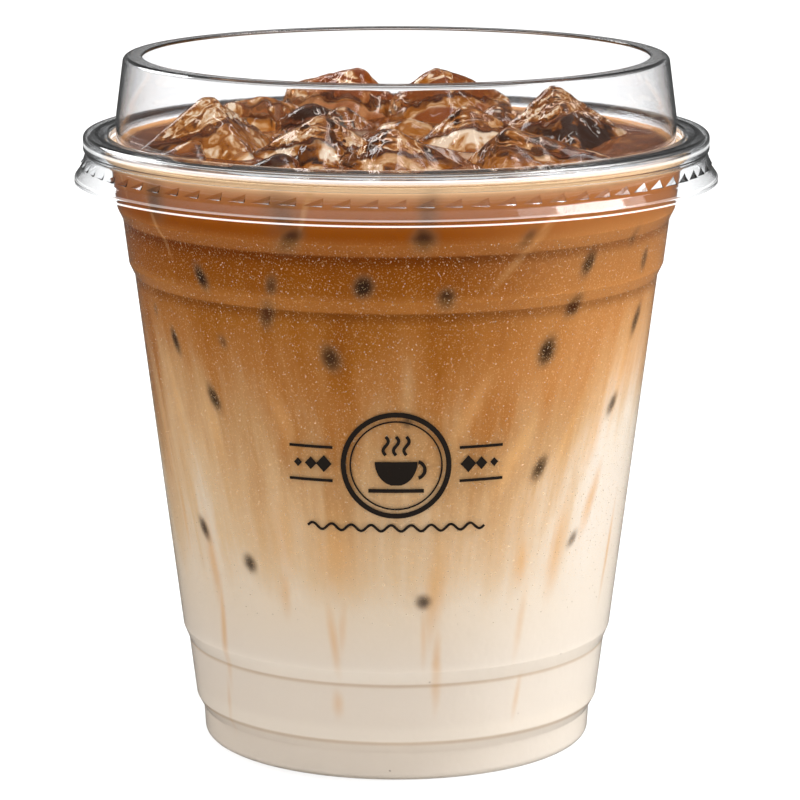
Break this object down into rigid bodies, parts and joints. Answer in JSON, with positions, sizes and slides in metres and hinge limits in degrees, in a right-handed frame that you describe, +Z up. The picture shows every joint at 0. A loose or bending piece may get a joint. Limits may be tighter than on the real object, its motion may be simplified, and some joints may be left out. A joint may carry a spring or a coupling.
{
  "type": "iced latte in a clear cup",
  "caption": "Iced latte layered over milk, full to the brim with ice, in a clear tapered cup under an open-topped clear press-fit lid.",
  "frame": {"origin": "centre of the ring that the cup stands on, in the floor's plane", "axes": "+Z up the cup's axis; the front, with the plain printed mark, faces -Y; +X to the right of it"},
  "size_m": [0.104, 0.104, 0.1122],
  "materials": {
    "cup_plastic": "clear smooth thin-walled plastic",
    "lid_plastic": "clear glossy thin-walled plastic",
    "milk": "opaque cold milk",
    "blend": "opaque milky coffee with streaks",
    "coffee": "opaque amber-brown coffee",
    "ice": "clear wet ice"
  },
  "bodies": {
    "root": {"blend_layer": "blend", "coffee_layer": "coffee", "cup": "cup_plastic", "ice_back_left": "ice", "ice_back_middle": "ice", "ice_back_right": "ice", "ice_centre": "ice", "ice_centre_left": "ice", "ice_front_chip": "ice", "ice_front_left": "ice", "ice_front_left_chip": "ice", "ice_front_middle": "ice", "ice_front_right": "ice", "ice_left": "ice", "ice_middle": "ice", "ice_middle_back": "ice", "ice_middle_left": "ice", "ice_middle_right": "ice", "ice_right": "ice", "ice_right_back": "ice", "ice_right_front": "ice", "ice_right_gap": "ice", "ice_right_low": "ice", "lid": "lid_plastic", "milk_layer": "milk"}
  },
  "joints": []
}
